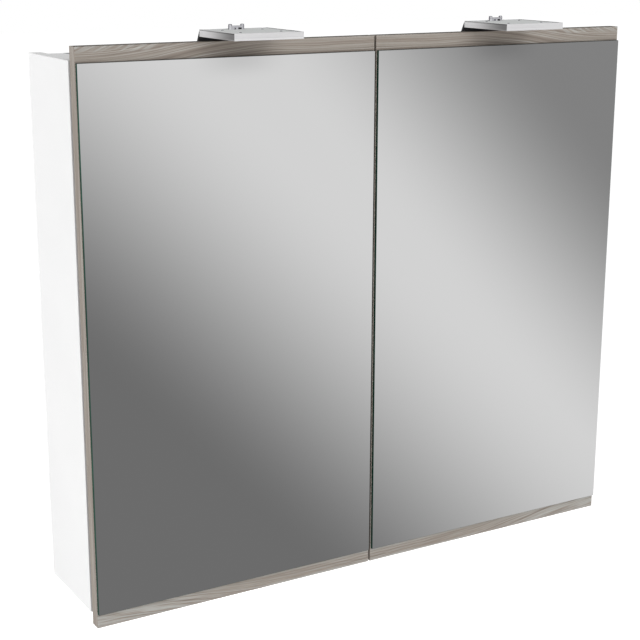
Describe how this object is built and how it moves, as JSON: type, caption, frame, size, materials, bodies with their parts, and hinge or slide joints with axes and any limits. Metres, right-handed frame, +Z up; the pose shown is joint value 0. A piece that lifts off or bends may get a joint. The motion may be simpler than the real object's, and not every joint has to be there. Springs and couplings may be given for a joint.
{
  "type": "lighted mirror cabinet",
  "caption": "Wall-hung bathroom cabinet with a pair of hinged mirror doors edged in wood decor, glass shelves inside and flat lamps on brackets over the doors.",
  "frame": {"origin": "midway between the two hanger eyes, on the wall plane", "axes": "+Z up, +Y into the wall so the doors face -Y, +X to the right of someone facing the doors"},
  "size_m": [0.8, 0.2275, 0.7322],
  "materials": {
    "white_board": "white melamine-faced board, satin",
    "white_hardboard": "white lacquered hardboard",
    "wood_decor": "grey-brown wood decor on board",
    "mirror_glass": "silvered float glass with a ground edge",
    "shelf_glass": "clear float glass",
    "beech": "fluted beech dowel",
    "brushed_aluminium": "brushed",
    "grey_plate": "matt anodised",
    "black_steel": "matt black powder coat",
    "opal_acrylic": "opal acrylic",
    "bright_metal": "bright nickel plate",
    "dark_screw": "blackened steel",
    "circuit_board": "printed circuit board",
    "white_plastic": "moulded ABS",
    "switch_plastic": "moulded nylon",
    "black_rubber": "moulded rubber",
    "clear_bumper": "soft clear pad",
    "zinc_steel": "zinc plated"
  },
  "bodies": {
    "carcass": {"back_panel": "white_hardboard", "bottom_panel": "white_board", "cable_grommets": "black_rubber", "carcass_dowels": "beech", "centre_partition": "white_board", "driver_board": "circuit_board", "driver_box": "white_plastic", "driver_box_screws": "zinc_steel", "hanger_screws": "zinc_steel", "hinge_arm_screws": "zinc_steel", "hinge_plate_screws": "zinc_steel", "lamp_base_screws": "zinc_steel", "lamp_clamp_bushes": "black_rubber", "lamp_clamp_screws": "bright_metal", "lamp_head_screws": "dark_screw", "left_hinge_plates": "zinc_steel", "left_lamp_bracket": "black_steel", "left_lamp_clamp": "bright_metal", "left_lamp_diffuser": "opal_acrylic", "left_lamp_frame": "brushed_aluminium", "left_lamp_led_board": "circuit_board", "left_lamp_top_plate": "grey_plate", "left_lower_hinge_arm": "zinc_steel", "left_lower_shelf": "shelf_glass", "left_side_panel": "white_board", "left_upper_hinge_arm": "zinc_steel", "left_upper_shelf": "shelf_glass", "left_wall_hanger": "zinc_steel", "right_hinge_plates": "zinc_steel", "right_lamp_bracket": "black_steel", "right_lamp_clamp": "bright_metal", "right_lamp_diffuser": "opal_acrylic", "right_lamp_frame": "brushed_aluminium", "right_lamp_led_board": "circuit_board", "right_lamp_top_plate": "grey_plate", "right_lower_hinge_arm": "zinc_steel", "right_lower_shelf": "shelf_glass", "right_side_panel": "white_board", "right_upper_hinge_arm": "zinc_steel", "right_upper_shelf": "shelf_glass", "right_wall_hanger": "zinc_steel", "shelf_pins": "zinc_steel", "switch_frame": "white_plastic", "top_panel": "white_board"},
    "left_door_set": {"left_door": "wood_decor", "left_mirror": "mirror_glass", "left_door_bumpers": "clear_bumper", "left_upper_hinge_cup": "zinc_steel", "left_lower_hinge_cup": "zinc_steel", "left_hinge_pins": "zinc_steel", "left_hinge_cup_screws": "zinc_steel"},
    "right_door_set": {"right_door": "wood_decor", "right_mirror": "mirror_glass", "right_door_bumpers": "clear_bumper", "right_upper_hinge_cup": "zinc_steel", "right_lower_hinge_cup": "zinc_steel", "right_hinge_pins": "zinc_steel", "right_hinge_cup_screws": "zinc_steel"},
    "rocker": {"switch_rocker": "switch_plastic"}
  },
  "joints": [
    {"name": "left_door_hinge", "type": "hinge", "parent": "carcass", "child": "left_door_set", "pos_m": [-0.3917, -0.1444, -0.0334], "axis": [0, 0, -1], "range_deg": [0, 100]},
    {"name": "right_door_hinge", "type": "hinge", "parent": "carcass", "child": "right_door_set", "pos_m": [0.3917, -0.1444, -0.0334], "axis": [0, 0, 1], "range_deg": [0, 100]},
    {"name": "rocker_tilt", "type": "hinge", "parent": "carcass", "child": "rocker", "pos_m": [0.104, -0.1202, 0.015], "axis": [-1, 0, 0], "range_deg": [0, 20]}
  ]
}
